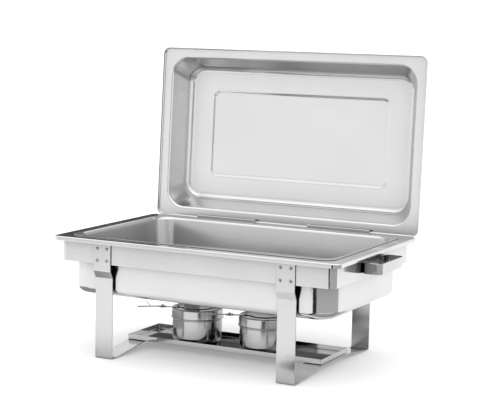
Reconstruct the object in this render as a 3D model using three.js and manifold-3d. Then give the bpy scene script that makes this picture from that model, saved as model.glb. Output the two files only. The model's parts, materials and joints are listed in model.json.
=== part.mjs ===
// Full-size rectangular chafing dish: a stainless frame on two U-shaped leg straps carries a water pan and
// a 530 x 325 mm food pan, two fuel burners stand on a shelf below, and the lid stands open in two rear
// brackets. Units are millimetres. +X is the long side, +Y points to the back, +Z is up, and the feet stand
// on z = 0.
import * as THREE from "three";
import { mergeVertices } from "three/addons/utils/BufferGeometryUtils.js";
import Module from "manifold-3d";

const wasm = await Module();
wasm.setup();

// ---- driving dimensions ----
const GAP = 0.3; // clearance left between two pieces that touch
const CORNER_STEPS = 6; // segments in one corner of a pan or lid
const BEND_STEPS = 4; // segments in one bend of a pressed edge
const FOLD_STEP = THREE.MathUtils.degToRad(30); // angle of one segment where a strip is folded
const GENTLE_TURN = THREE.MathUtils.degToRad(15); // a strip turns by less than this without an arc

// Each pressed piece follows rectangles with rounded corners: half lengths along X and Y, and a corner.
const PAN_FLANGE = { halfX: 287.5, halfY: 185, corner: 14 };
const PAN_WALL = { halfX: 263.5, halfY: 161, corner: 40 };
const FOOD_RIM = { halfX: 265, halfY: 162.5, corner: 24 };
const FOOD_MOUTH = { halfX: 252.6, halfY: 150.1, corner: 34 };
const FOOD_FLOOR = { halfX: 246, halfY: 143.5, corner: 34 };
const BAND = { halfX: 275.5, halfY: 173, corner: 12 };
const LID_EDGE = { halfX: 285, halfY: 171, corner: 14 };
const LID_MOUTH = { halfX: 264, halfY: 151, corner: 36 };
const LID_TOP = { halfX: 250, halfY: 137, corner: 36 };
const LID_PANEL = { halfX: 197, halfY: 90, corner: 18 };
const SHELF = { halfX: 203, halfY: 59, corner: 3 };

const FLANGE_TOP = 223; // height of the water pan's flange
const PAN_SHEET = 1.2;
const PAN_DEPTH = 106;
const PAN_BEND = 14; // outer radius between wall and floor
const LIP_HEIGHT = 8;
const FOOD_SHEET = 1;
const FOOD_DEPTH = 65;
const FOOD_BEND = 12;
const FOOD_MOUTH_BEND = 8; // outer radius between the flat rim and the wall

const BAND_SHEET = 1.5;
const BAND_HEIGHT = 44.5;
const STRAP = 2; // thickness of the leg straps and side handles
const STRAP_WIDTH = 36;
const STRAP_CENTRE_X = 185;
const STRAP_FOLD = 3; // middle radius of the strap's folds
const STEP_IN = 8; // the lower leg stands this far inside the upper plate
const STEP_TOP = 165;
const STEP_BOTTOM = 151;
const PLATE_TOP = 218;
const FOOT_LENGTH = 15;
const PLATFORM_HALF = 54; // flat middle of the leg strap that carries the shelf
const PLATFORM_TOP = 13.5;

const RIVET_SIDES = 8;
const RIVET = { shank: 1.6, head: 2.8, crown: 1.7, dome: 1.4, tail: 2.4, tailHeight: 0.8 };
const PIVOT = { shank: 1.5, head: 3, crown: 2.1, dome: 1.2, tail: 2.5, tailHeight: 0.8 };
const GRIP_RIVET = { shank: 1.5, head: 2.6, crown: 1.8, dome: 2.4, tail: 2.2, tailHeight: 0.8 };
const LEG_RIVETS = { offsetX: 10, lowZ: 184, highZ: 206 };
const HANDLE_RIVETS = { y: 38, lowZ: 192.5, highZ: 202.5 };

const SIDE_HANDLE = { reach: 36.5, halfSpan: 56, footEnd: 30, bottomZ: 188, height: 19, fold: 10 };

const LID_SHEET = 1;
const LID_DEPTH = 52;
const LID_HEM = 5;
const LID_LEAN = THREE.MathUtils.degToRad(3.5);
const PANEL_RISE = 3;
const LID_HANDLE = { halfSpan: 58, foot: 22, reach: 30, slope: 6, width: 20, sheet: 2, fold: 8 };

const BRACKET = {
  sheet: 1.5,
  innerX: 57,
  outerX: 188,
  foldGap: 0.6,
  foldRadius: 1,
  flangeGap: 3, // from the water pan's flange to the middle of the inner wall
  tongueFoot: 6, // height of the plate's lower edge above the band's
  shelfZ: 208,
  lipTop: 227,
  floor: 220.25,
  backTop: 235,
  notchX: 162, // the plate is cut back from here outwards, clear of the leg strap
  notchY: 182,
  notchTop: 212,
};
const LID_FOOT = { y: 196.5, z: BRACKET.floor + 0.5 }; // where the lid's lower edge stands in the brackets

const SHELF_SHEET = 1;
const SHELF_LIP = 10;
const SHELF_SHIFT = 6; // the shelf sits this far behind the middle of the straps

const BURNER_X = [-81, 62];
const BURNER_SIDES = 24;
const CAN = { radius: 47.2, height: 63.8, sheet: 1, corner: 12 };
const CAP = { radius: 49, foot: 46, top: 66, sheet: 1, hole: 26, bead: 1.2, beadHeight: 3, edge: 2 };
const REGULATOR = { radius: 31, sheet: 1.2, pivot: 37, armStart: 21.5, armEnd: 74, armWidth: 9 };
const REGULATOR_TURN = THREE.MathUtils.degToRad(218); // the handle points to the front left
const GRIP = { start: 60, rivet: 67, end: 115, width: 7, sheet: 1.2, tabAt: 90, tabHeight: 11, tabLean: 8 };

const bandTop = FLANGE_TOP - PAN_SHEET - GAP;
const shelfBottom = PLATFORM_TOP + GAP;
const burnerBottom = shelfBottom + SHELF_SHEET + GAP;
const plateFace = BAND.halfY + GAP; // inner face of a strap plate on the long side

// ---- materials ----
function steel(color, roughness) {
  return new THREE.MeshStandardMaterial({ color, roughness, metalness: 1 });
}

const MIRROR = steel(0xd9dadb, 0.12);
const SATIN = steel(0xc9cacc, 0.28);
const BRUSHED = steel(0xbfc1c3, 0.38);
const ZINC = steel(0xa8aaad, 0.35);

// ---- solids and meshes ----
/** Turns a closed geometry into a manifold solid. */
function solidOf(geometry) {
  const bare = geometry.clone();
  bare.deleteAttribute("normal");
  bare.deleteAttribute("uv");
  const merged = mergeVertices(bare, 1e-4);
  return new wasm.Manifold(
    new wasm.Mesh({
      numProp: 3,
      vertProperties: new Float32Array(merged.attributes.position.array),
      triVerts: new Uint32Array(merged.index.array),
    }),
  );
}

/** Turns a manifold solid back into a geometry. */
function geometryOf(solid) {
  const { vertProperties, triVerts } = solid.getMesh();
  const geometry = new THREE.BufferGeometry();
  geometry.setAttribute("position", new THREE.BufferAttribute(vertProperties, 3));
  geometry.setIndex(new THREE.BufferAttribute(triVerts, 1));
  geometry.computeVertexNormals();
  return geometry;
}

/** Cuts every tool geometry out of the blank. */
function cut(blank, tools) {
  const whole = tools.reduce((solid, tool) => solid.subtract(solidOf(tool)), solidOf(blank));
  return geometryOf(whole);
}

/** Joins geometries that overlap into one. */
function join(...pieces) {
  return geometryOf(pieces.map(solidOf).reduce((whole, piece) => whole.add(piece)));
}

/** Turns a profile of radii and heights round the Z axis. */
function turned(profile, sides) {
  const points = profile.map(([r, z]) => new THREE.Vector2(r, z));
  return new THREE.LatheGeometry(points, sides).rotateX(Math.PI / 2);
}

function meshNamed(name, geometry, material) {
  const mesh = new THREE.Mesh(geometry, material);
  mesh.name = name;
  return mesh;
}

// ---- pressed sheet: rings round a rectangle with rounded corners ----
/** One ring: the outline drawn in by an inset, at height z. */
function ring(outline, inset, z) {
  return {
    halfX: outline.halfX - inset,
    halfY: outline.halfY - inset,
    corner: Math.max(outline.corner - inset, 1),
    z,
  };
}

/** Rings that follow an arc round (centreInset, centreZ). Angle 0 points outwards, 90 up, 180 inwards. */
function bend(outline, centreInset, centreZ, radius, fromDegrees, toDegrees) {
  return Array.from({ length: BEND_STEPS + 1 }, (_, step) => {
    const angle = THREE.MathUtils.degToRad(fromDegrees + ((toDegrees - fromDegrees) * step) / BEND_STEPS);
    return ring(outline, centreInset - radius * Math.cos(angle), centreZ + radius * Math.sin(angle));
  });
}

/** Points of one ring, anticlockwise seen from above. */
function ringPoints({ halfX, halfY, corner, z }) {
  const points = [];
  for (let quarter = 0; quarter < 4; quarter++) {
    const signX = quarter === 0 || quarter === 3 ? 1 : -1;
    const signY = quarter < 2 ? 1 : -1;
    for (let step = 0; step <= CORNER_STEPS; step++) {
      const angle = (Math.PI / 2) * (quarter + step / CORNER_STEPS);
      const x = signX * (halfX - corner) + corner * Math.cos(angle);
      const y = signY * (halfY - corner) + corner * Math.sin(angle);
      points.push([x, y, z]);
    }
  }
  return points;
}

/** Skin over a list of rings. A closed list is a loop of sheet; an open one is capped over its ends. */
function skin(rings, closed = false) {
  const loops = rings.map(ringPoints);
  const count = loops[0].length;
  const positions = loops.flat(2);
  const index = [];
  const spans = closed ? rings.length : rings.length - 1;
  for (let span = 0; span < spans; span++) {
    const low = span * count;
    const high = ((span + 1) % rings.length) * count;
    for (let side = 0; side < count; side++) {
      const next = (side + 1) % count;
      index.push(low + side, low + next, high + next, low + side, high + next, high + side);
    }
  }
  if (!closed) {
    const first = rings.length * count;
    const last = (rings.length - 1) * count;
    positions.push(0, 0, rings[0].z, 0, 0, rings.at(-1).z);
    for (let side = 0; side < count; side++) {
      const next = (side + 1) % count;
      index.push(first, next, side, first + 1, last + side, last + next);
    }
  }
  const geometry = new THREE.BufferGeometry();
  geometry.setAttribute("position", new THREE.Float32BufferAttribute(positions, 3));
  geometry.setIndex(index);
  geometry.computeVertexNormals();
  return geometry;
}

/** Pressed pan: floor, wall, and a flange whose edge is turned down. */
function pressedPan({ flange, mouth, floor, top, sheet, depth, floorBend, mouthBend, edgeBend, edge }) {
  const bottom = top - depth;
  return skin([
    ...bend(floor, floorBend, bottom + floorBend, floorBend, -90, 0),
    ring(mouth, 0, top - sheet),
    ring(flange, sheet, top - sheet),
    ring(flange, sheet, top - edge),
    ring(flange, 0, top - edge),
    ...bend(flange, edgeBend, top - edgeBend, edgeBend, 0, 90),
    ...bend(mouth, sheet - mouthBend, top - mouthBend, mouthBend, 90, 180),
    ...bend(floor, floorBend, bottom + floorBend, floorBend - sheet, 0, -90),
  ]);
}

// ---- bent strip: a flat strip folded along a line of corners ----
/** Points and directions along a line of corners: a sharp one gets an arc, a gentle one a mitre. */
function foldedLine(corners, radius) {
  const path = corners.map(([u, v]) => new THREE.Vector2(u, v));
  const stations = [{ point: path[0], along: path[1].clone().sub(path[0]).normalize() }];
  for (let i = 1; i < path.length - 1; i++) {
    const before = path[i].clone().sub(path[i - 1]).normalize();
    const after = path[i + 1].clone().sub(path[i]).normalize();
    const turn = Math.atan2(before.cross(after), before.dot(after));
    if (Math.abs(turn) < GENTLE_TURN) {
      stations.push({ point: path[i], along: before.clone().add(after).normalize() });
      continue;
    }
    const steps = Math.ceil(Math.abs(turn) / FOLD_STEP);
    const reach = radius * Math.tan(Math.abs(turn) / 2);
    const start = path[i].clone().addScaledVector(before, -reach);
    const side = new THREE.Vector2(-before.y, before.x).multiplyScalar(Math.sign(turn));
    const centre = start.clone().addScaledVector(side, radius);
    for (let step = 0; step <= steps; step++) {
      const angle = (turn * step) / steps;
      const point = start.clone().rotateAround(centre, angle);
      const along = before.clone().rotateAround(new THREE.Vector2(), angle);
      stations.push({ point, along });
    }
  }
  stations.push({ point: path.at(-1), along: path.at(-1).clone().sub(path.at(-2)).normalize() });
  return stations;
}

/** Solid of a strip with the given sheet thickness, folded along the corners and drawn out by its width. */
function bentStrip(corners, sheet, width, radius) {
  const stations = foldedLine(corners, radius);
  const offset = (station, distance) =>
    station.point.clone().add(new THREE.Vector2(-station.along.y, station.along.x).multiplyScalar(distance));
  const left = stations.map((station) => offset(station, sheet / 2));
  const right = stations.map((station) => offset(station, -sheet / 2));
  const outline = new THREE.Shape([...right, ...left.reverse()]);
  return new THREE.ExtrudeGeometry(outline, { depth: width, bevelEnabled: false });
}

/** Stands a strip profile drawn as (y, z) upright, with its width along X from startX. */
function strapAlongX(geometry, startX) {
  const axes = new THREE.Matrix4().makeBasis(
    new THREE.Vector3(0, 1, 0),
    new THREE.Vector3(0, 0, 1),
    new THREE.Vector3(1, 0, 0),
  );
  return geometry.applyMatrix4(axes).translate(startX, 0, 0);
}

// ---- rivets ----
/** Domed rivet along +Z: its head sits above z = 0 and its tail is spread under the sheets it grips. */
function rivetGeometry({ shank, head, crown, dome, tail, tailHeight }, grip) {
  const tailTop = -grip - GAP;
  const profile = [
    [0, tailTop - tailHeight],
    [tail, tailTop - tailHeight],
    [tail, tailTop],
    [shank, tailTop],
    [shank, GAP],
    [head, GAP],
    [crown, GAP + dome],
    [0, GAP + dome],
  ];
  return turned(profile, RIVET_SIDES);
}

/** Drill for a rivet hole, long enough for the sheets on both sides of z = 0. */
function rivetDrill({ shank } = RIVET) {
  const radius = shank + GAP;
  return new THREE.CylinderGeometry(radius, radius, 10 * shank, RIVET_SIDES).rotateX(Math.PI / 2);
}

/** Rivet seats: a place on an outer face and the way the head faces there. */
function legRivetSeats() {
  const seats = [];
  for (const [side, signX] of [["left", -1], ["right", 1]]) {
    for (const [end, signY] of [["front", -1], ["rear", 1]]) {
      let number = 0;
      for (const z of [LEG_RIVETS.highZ, LEG_RIVETS.lowZ]) {
        for (const offset of [-LEG_RIVETS.offsetX, LEG_RIVETS.offsetX]) {
          number += 1;
          const name = `leg_rivet_${side}_${end}_${number}`;
          const x = signX * STRAP_CENTRE_X + offset;
          const place = new THREE.Vector3(x, signY * (plateFace + STRAP), z);
          seats.push({ name, place, facing: new THREE.Vector3(0, signY, 0) });
        }
      }
    }
  }
  return seats;
}

function handleRivetSeats() {
  const seats = [];
  for (const [side, signX] of [["left", -1], ["right", 1]]) {
    let number = 0;
    for (const signY of [-1, 1]) {
      for (const z of [HANDLE_RIVETS.lowZ, HANDLE_RIVETS.highZ]) {
        number += 1;
        const name = `handle_rivet_${side}_${number}`;
        const place = new THREE.Vector3(signX * (BAND.halfX + GAP + STRAP), signY * HANDLE_RIVETS.y, z);
        seats.push({ name, place, facing: new THREE.Vector3(signX, 0, 0) });
      }
    }
  }
  return seats;
}

/** Turns a geometry that faces +Z to face the seat's way, and moves it onto the seat. */
function seated(geometry, { place, facing }) {
  const turn = new THREE.Quaternion().setFromUnitVectors(new THREE.Vector3(0, 0, 1), facing);
  return geometry.applyQuaternion(turn).translate(place.x, place.y, place.z);
}

/** Drills for the rivets of the seats whose names hold the word. */
function rivetDrills(seats, word) {
  return seats.filter((seat) => seat.name.includes(word)).map((seat) => seated(rivetDrill(), seat));
}

const LEG_SEATS = legRivetSeats();
const HANDLE_SEATS = handleRivetSeats();

// ---- frame ----
function frameBand() {
  const low = bandTop - BAND_HEIGHT;
  const section = [
    ring(BAND, 0, low),
    ring(BAND, 0, bandTop),
    ring(BAND, BAND_SHEET, bandTop),
    ring(BAND, BAND_SHEET, low),
  ];
  const loop = skin(section, true);
  const holes = rivetDrills([...LEG_SEATS, ...HANDLE_SEATS], "rivet");
  return meshNamed("frame_band", cut(loop, holes), BRUSHED);
}

/** One strap makes a front leg, the raised bridge under the shelf and the rear leg. */
function legStrap(side, signX) {
  const plate = plateFace + STRAP / 2;
  const leg = plate - STEP_IN;
  const sole = STRAP / 2;
  const platform = PLATFORM_TOP - STRAP / 2;
  const half = [
    [plate, PLATE_TOP],
    [plate, STEP_TOP],
    [leg, STEP_BOTTOM],
    [leg, sole],
    [leg - FOOT_LENGTH, sole],
    [PLATFORM_HALF, platform],
  ];
  const front = half.map(([y, z]) => [-y, z]);
  const strip = bentStrip([...front, ...half.reverse()], STRAP, STRAP_WIDTH, STRAP_FOLD);
  const strap = strapAlongX(strip, signX * STRAP_CENTRE_X - STRAP_WIDTH / 2);
  return meshNamed(`leg_strap_${side}`, cut(strap, rivetDrills(LEG_SEATS, side)), BRUSHED);
}

/** Bow handle on the band's short side, a strip on edge whose riveted feet are turned in behind the bow. */
function sideHandle(side, signX) {
  const { reach, halfSpan, footEnd, bottomZ, height, fold } = SIDE_HANDLE;
  const foot = BAND.halfX + GAP + STRAP / 2;
  const bar = BAND.halfX + reach - STRAP / 2;
  const corners = [
    [foot, -footEnd],
    [foot, -halfSpan],
    [bar, -halfSpan],
    [bar, halfSpan],
    [foot, halfSpan],
    [foot, footEnd],
  ];
  const bow = bentStrip(corners, STRAP, height, fold).translate(0, 0, bottomZ);
  if (signX < 0) {
    bow.rotateZ(Math.PI);
  }
  return meshNamed(`side_handle_${side}`, cut(bow, rivetDrills(HANDLE_SEATS, side)), SATIN);
}

/** Channel behind the water pan that holds the lid's lower edge; its inner wall is folded double. */
function lidBracket(side, signX) {
  const { sheet, innerX, outerX, foldGap, foldRadius, shelfZ, lipTop, floor, backTop } = BRACKET;
  const plate = plateFace + sheet / 2;
  const rise = PAN_FLANGE.halfY + BRACKET.flangeGap;
  const fold = rise + sheet + foldGap;
  const bottom = floor - sheet / 2;
  const back = LID_FOOT.y + LID_SHEET + GAP + sheet / 2;
  const corners = [
    [plate, bandTop - BAND_HEIGHT + BRACKET.tongueFoot],
    [plate, shelfZ],
    [rise, shelfZ],
    [rise, lipTop],
    [fold, lipTop],
    [fold, bottom],
    [back, bottom],
    [back + (backTop - bottom) * Math.tan(LID_LEAN), backTop],
  ];
  const width = outerX - innerX;
  const centreX = (signX * (innerX + outerX)) / 2;
  const channel = strapAlongX(bentStrip(corners, sheet, width, foldRadius), centreX - width / 2);
  return meshNamed(`lid_bracket_${side}`, cut(channel, [strapNotch(signX)]), SATIN);
}

/** Block that clears a bracket's plate from the leg strap. */
function strapNotch(signX) {
  const { innerX, notchX, notchY, notchTop } = BRACKET;
  const width = notchX - innerX;
  const depth = 2 * (notchY - BAND.halfY);
  const block = new THREE.BoxGeometry(width, depth, notchTop);
  return block.translate(signX * (notchX + width / 2), BAND.halfY, notchTop / 2);
}

/** Shallow tray across both leg straps, with its four edges turned up. */
function burnerShelf() {
  const top = shelfBottom + SHELF_LIP;
  const tray = skin([
    ring(SHELF, 0, shelfBottom),
    ring(SHELF, 0, top),
    ring(SHELF, SHELF_SHEET, top),
    ring(SHELF, SHELF_SHEET, shelfBottom + SHELF_SHEET),
  ]);
  return meshNamed("burner_shelf", tray.translate(0, SHELF_SHIFT, 0), MIRROR);
}

function rivets(seats, grip) {
  return seats.map((seat) => meshNamed(seat.name, seated(rivetGeometry(RIVET, grip), seat), ZINC));
}

// ---- pans ----
function waterPan() {
  const geometry = pressedPan({
    flange: PAN_FLANGE,
    mouth: PAN_WALL,
    floor: PAN_WALL,
    top: FLANGE_TOP,
    sheet: PAN_SHEET,
    depth: PAN_DEPTH,
    floorBend: PAN_BEND,
    mouthBend: 1.5,
    edgeBend: 2,
    edge: LIP_HEIGHT,
  });
  return meshNamed("water_pan", geometry, BRUSHED);
}

function foodPan() {
  const seat = FLANGE_TOP + GAP;
  const top = seat + FOOD_SHEET;
  const floorCentre = top - FOOD_DEPTH + FOOD_BEND;
  const mouthCentre = top - FOOD_MOUTH_BEND;
  const mouthInset = FOOD_SHEET - FOOD_MOUTH_BEND;
  const geometry = skin([
    ...bend(FOOD_FLOOR, FOOD_BEND, floorCentre, FOOD_BEND, -90, 0),
    ...bend(FOOD_MOUTH, mouthInset, mouthCentre, FOOD_MOUTH_BEND - FOOD_SHEET, 180, 90),
    ring(FOOD_RIM, 0, seat),
    ring(FOOD_RIM, 0, top),
    ...bend(FOOD_MOUTH, mouthInset, mouthCentre, FOOD_MOUTH_BEND, 90, 180),
    ...bend(FOOD_FLOOR, FOOD_BEND, floorCentre, FOOD_BEND - FOOD_SHEET, 0, -90),
  ]);
  return meshNamed("food_pan", geometry, SATIN);
}

// ---- lid: made with its edge down and its top at +Z, then stood up in the brackets ----
function lidShell() {
  const topBend = 14;
  const mouthBend = 3;
  const ceiling = LID_DEPTH - LID_SHEET;
  const panelEdge = 4; // width of the slope round the raised panel
  const geometry = skin([
    ring(LID_PANEL, panelEdge, ceiling + PANEL_RISE),
    ring(LID_PANEL, 0, ceiling),
    ...bend(LID_TOP, topBend, LID_DEPTH - topBend, topBend - LID_SHEET, 90, 0),
    ring(LID_MOUTH, LID_SHEET, 0),
    ring(LID_EDGE, LID_SHEET, 0),
    ring(LID_EDGE, LID_SHEET, -LID_HEM),
    ring(LID_EDGE, 0, -LID_HEM),
    ring(LID_EDGE, 0, 0),
    ring(LID_EDGE, LID_SHEET, LID_SHEET),
    ring(LID_MOUTH, -mouthBend, LID_SHEET),
    ring(LID_MOUTH, 0, LID_SHEET + mouthBend),
    ...bend(LID_TOP, topBend, LID_DEPTH - topBend, topBend, 0, 90),
    ring(LID_PANEL, 0, LID_DEPTH),
    ring(LID_PANEL, panelEdge, LID_DEPTH + PANEL_RISE),
  ]);
  return meshNamed("lid_shell", geometry, BRUSHED);
}

/** Bow handle across the middle of the lid's top. */
function lidHandle() {
  const { halfSpan, foot, reach, slope, width, sheet, fold } = LID_HANDLE;
  const base = LID_DEPTH + PANEL_RISE + GAP + sheet / 2;
  const bar = base + reach;
  const corners = [
    [-halfSpan - foot, base],
    [-halfSpan, base],
    [-halfSpan + slope, bar],
    [halfSpan - slope, bar],
    [halfSpan, base],
    [halfSpan + foot, base],
  ];
  const bow = bentStrip(corners, sheet, width, fold).rotateX(Math.PI / 2).translate(0, width / 2, 0);
  return meshNamed("lid_handle", bow, SATIN);
}

function lid() {
  const group = new THREE.Group();
  group.rotation.x = -(Math.PI / 2 + LID_LEAN);
  const lowEdge = new THREE.Vector3(0, LID_EDGE.halfY, 0).applyEuler(group.rotation);
  group.position.set(0, LID_FOOT.y - lowEdge.y, LID_FOOT.z - lowEdge.z);
  group.add(lidShell(), lidHandle());
  return group;
}

// ---- burners ----
/** Points of an arc in the (radius, height) plane, from one angle to another in steps of 30 degrees. */
function profileArc(centreR, centreZ, radius, fromDegrees, toDegrees) {
  const steps = Math.round(Math.abs(toDegrees - fromDegrees) / 30);
  return Array.from({ length: steps + 1 }, (_, step) => {
    const angle = THREE.MathUtils.degToRad(fromDegrees + ((toDegrees - fromDegrees) * step) / steps);
    return [centreR + radius * Math.cos(angle), centreZ + radius * Math.sin(angle)];
  });
}

/** Fuel can, a straight cup with a well-rounded lower edge. */
function burnerCan(side) {
  const { radius, height, sheet, corner } = CAN;
  const centre = radius - corner;
  const profile = [
    [0, 0],
    ...profileArc(centre, corner, corner, -90, 0),
    [radius, height],
    [radius - sheet, height],
    ...profileArc(centre, corner, corner - sheet, 0, -90),
    [0, sheet],
  ];
  return meshNamed(`burner_can_${side}`, turned(profile, BURNER_SIDES), SATIN);
}

/** Cap that slips over the can's mouth, with a bead round its lower edge and the flame opening in its top. */
function burnerCap(side) {
  const { radius, foot, top, sheet, hole, bead, beadHeight, edge } = CAP;
  const profile = [
    [radius - sheet, foot],
    [radius, foot],
    [radius + bead, foot + beadHeight / 2],
    [radius, foot + beadHeight],
    [radius, top - edge],
    [radius - edge, top],
    [hole, top],
    [hole, top - sheet],
    [radius - edge, top - sheet],
    [radius - sheet, top - edge],
    [radius - sheet, foot],
  ];
  const drill = rivetDrill(PIVOT).translate(REGULATOR.pivot, 0, top);
  return meshNamed(`burner_cap_${side}`, cut(turned(profile, BURNER_SIDES), [drill]), SATIN);
}

/** Swivel plate over the flame opening, its pivot at x = 0, with an arm that reaches past the can. */
function regulatorPlate(side) {
  const { radius, sheet, pivot, armStart, armEnd, armWidth } = REGULATOR;
  const disc = new THREE.CylinderGeometry(radius, radius, sheet, BURNER_SIDES).rotateX(Math.PI / 2);
  const armLength = armEnd + armStart - pivot;
  const arm = new THREE.BoxGeometry(armLength, armWidth, sheet).translate(armLength / 2 - armStart, 0, 0);
  const gripHole = rivetDrill(GRIP_RIVET).translate(GRIP.rivet - pivot, 0, 0);
  const plate = cut(join(disc.translate(-pivot, 0, 0), arm), [rivetDrill(PIVOT), gripHole]);
  return meshNamed(`regulator_plate_${side}`, plate.translate(0, 0, sheet / 2), BRUSHED);
}

/** Thin grip riveted on the arm, with a finger tab bent up near its end. */
function regulatorGrip(side) {
  const { start, rivet, end, width, sheet, tabAt, tabHeight, tabLean } = GRIP;
  const length = end - start;
  const bar = new THREE.BoxGeometry(length, width, sheet).translate(start + length / 2, 0, sheet / 2);
  const slope = [
    [tabAt, sheet / 2],
    [tabAt + tabLean, tabHeight],
  ];
  const tab = bentStrip(slope, sheet, width, sheet).rotateX(Math.PI / 2).translate(0, width / 2, 0);
  const hole = rivetDrill(GRIP_RIVET).translate(rivet, 0, 0);
  const grip = cut(join(bar, tab), [hole]).translate(-REGULATOR.pivot, 0, 0);
  return meshNamed(`regulator_grip_${side}`, grip, SATIN);
}

/** Regulator that swivels about the origin: plate, grip and the rivet that joins them. */
function regulator(side) {
  const group = new THREE.Group();
  const grip = regulatorGrip(side);
  grip.position.z = REGULATOR.sheet + GAP;
  const joint = rivetGeometry(GRIP_RIVET, REGULATOR.sheet + GAP + GRIP.sheet);
  const rivet = meshNamed(`grip_rivet_${side}`, joint, ZINC);
  rivet.position.set(GRIP.rivet - REGULATOR.pivot, 0, REGULATOR.sheet + GAP + GRIP.sheet);
  group.add(regulatorPlate(side), grip, rivet);
  return group;
}

/** One burner: can, cap, and a regulator that swivels on a rivet near the cap's edge. */
function burner(side, x) {
  const swivel = regulator(side);
  swivel.position.set(REGULATOR.pivot, 0, CAP.top + GAP);
  const pivotRivet = rivetGeometry(PIVOT, CAP.sheet + GAP + REGULATOR.sheet);
  const pivot = meshNamed(`regulator_pivot_${side}`, pivotRivet, ZINC);
  pivot.position.set(REGULATOR.pivot, 0, CAP.top + GAP + REGULATOR.sheet);
  const top = new THREE.Group();
  top.rotation.z = REGULATOR_TURN;
  top.add(burnerCap(side), pivot, swivel);
  const group = new THREE.Group();
  group.position.set(x, 0, burnerBottom);
  group.add(burnerCan(side), top);
  return group;
}

// ---- whole object ----
const chafer = new THREE.Group();
chafer.add(
  frameBand(),
  legStrap("left", -1),
  legStrap("right", 1),
  ...rivets(LEG_SEATS, STRAP + GAP + BAND_SHEET),
  sideHandle("left", -1),
  sideHandle("right", 1),
  ...rivets(HANDLE_SEATS, STRAP + GAP + BAND_SHEET),
  lidBracket("left", -1),
  lidBracket("right", 1),
  burnerShelf(),
  burner("left", BURNER_X[0]),
  burner("right", BURNER_X[1]),
  waterPan(),
  foodPan(),
  lid(),
);

// The origin is on the floor, under the middle of the whole object with its lid open.
const extent = new THREE.Box3().setFromObject(chafer);
chafer.position.y = -(extent.min.y + extent.max.y) / 2;

const part = new THREE.Group();
part.add(chafer);

export default part;
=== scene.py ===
# Looks of a full-size rectangular chafing dish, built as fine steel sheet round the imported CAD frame.
# Lengths are in metres. +X is the long side, +Y points to the open lid at the back and +Z is up.
import json
import math

import bmesh
import bpy
from mathutils import Matrix, Vector


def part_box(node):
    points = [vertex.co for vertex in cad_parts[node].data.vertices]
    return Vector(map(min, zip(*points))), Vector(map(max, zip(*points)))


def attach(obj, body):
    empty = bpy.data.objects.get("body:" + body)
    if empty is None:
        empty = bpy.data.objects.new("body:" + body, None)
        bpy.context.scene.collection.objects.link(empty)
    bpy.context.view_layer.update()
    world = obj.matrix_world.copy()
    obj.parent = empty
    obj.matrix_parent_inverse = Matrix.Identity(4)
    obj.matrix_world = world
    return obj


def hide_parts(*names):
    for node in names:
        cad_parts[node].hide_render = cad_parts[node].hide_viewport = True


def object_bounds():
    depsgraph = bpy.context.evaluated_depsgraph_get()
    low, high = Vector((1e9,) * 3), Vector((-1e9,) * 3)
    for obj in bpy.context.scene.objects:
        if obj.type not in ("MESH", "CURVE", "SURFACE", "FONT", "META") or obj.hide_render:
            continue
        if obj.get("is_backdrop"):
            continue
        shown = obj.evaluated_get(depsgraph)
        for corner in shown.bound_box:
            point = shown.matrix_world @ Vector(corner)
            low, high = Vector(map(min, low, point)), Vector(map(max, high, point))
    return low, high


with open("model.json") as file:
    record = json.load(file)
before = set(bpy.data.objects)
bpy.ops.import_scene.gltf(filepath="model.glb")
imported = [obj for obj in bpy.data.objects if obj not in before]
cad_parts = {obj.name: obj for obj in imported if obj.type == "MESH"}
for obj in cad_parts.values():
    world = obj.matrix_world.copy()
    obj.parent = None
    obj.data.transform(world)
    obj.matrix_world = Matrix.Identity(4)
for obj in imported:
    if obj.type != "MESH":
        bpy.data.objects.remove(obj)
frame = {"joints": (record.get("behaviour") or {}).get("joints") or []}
bounds_at_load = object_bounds()

MM = 0.001
GAP = 0.3 * MM  # clearance between two pieces that touch
CORNER_STEPS = 14  # segments in one corner of a pressed piece
BEND_STEPS = 7  # segments in one bend of a pressed edge
EDGE_STEPS = 2  # segments in one rounded cut edge
FOLD_STEP = math.radians(12)  # largest turn of one segment where a strip is folded
LATHE_SIDES = 96
RIVET_SIDES = 24
SHARP_ANGLE = math.radians(38)
SMALLEST_CORNER = 0.6 * MM
EDGE = 0.35 * MM  # rounding of a cut sheet edge
MERGE_DISTANCE = 1e-6

# Sheets, corners and bends of the pressed pieces. An inset is measured inwards from the piece's outer edge.
PAN_SHEET = 1.2 * MM
PAN_CORNER = 14 * MM
PAN_WALL_CORNER = 40 * MM
PAN_FLANGE_WIDTH = 24 * MM
PAN_BEND = 14 * MM
PAN_LIP = 8 * MM
PAN_EDGE_BEND = 2 * MM
PAN_MOUTH_BEND = 1.5 * MM
FOOD_SHEET = 1 * MM
FOOD_RIM_CORNER = 24 * MM
FOOD_MOUTH_INSET = 12.4 * MM
FOOD_FLOOR_INSET = 19 * MM
FOOD_CORNER = 34 * MM
FOOD_BEND = 14 * MM
FOOD_MOUTH_BEND = 8 * MM
BAND_SHEET = 1.5 * MM
BAND_CORNER = 12 * MM
SHELF_SHEET = 1 * MM
SHELF_CORNER = 3 * MM
SHELF_BEND = 2 * MM
LID_SHEET = 1 * MM
LID_HEM = 5 * MM
LID_HEM_BEND = 1.6 * MM
LID_SEAT = 0.5 * MM  # the lid's low edge stands this far above the brackets' floor
LID_HALF_Y = 171 * MM
LID_DEPTH = 52 * MM
LID_EDGE_CORNER = 14 * MM
LID_MOUTH_INSET = (21 * MM, 20 * MM)  # along X and along Y
LID_TOP_INSET = (35 * MM, 34 * MM)
LID_CORNER = 36 * MM
LID_TOP_BEND = 16 * MM
LID_MOUTH_BEND = 6 * MM
PANEL = (197 * MM, 90 * MM, 18 * MM)  # half_x, half_y and corner of the lid's raised panel
PANEL_RISE = 2.6 * MM
PANEL_SLOPE = 9 * MM

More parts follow.
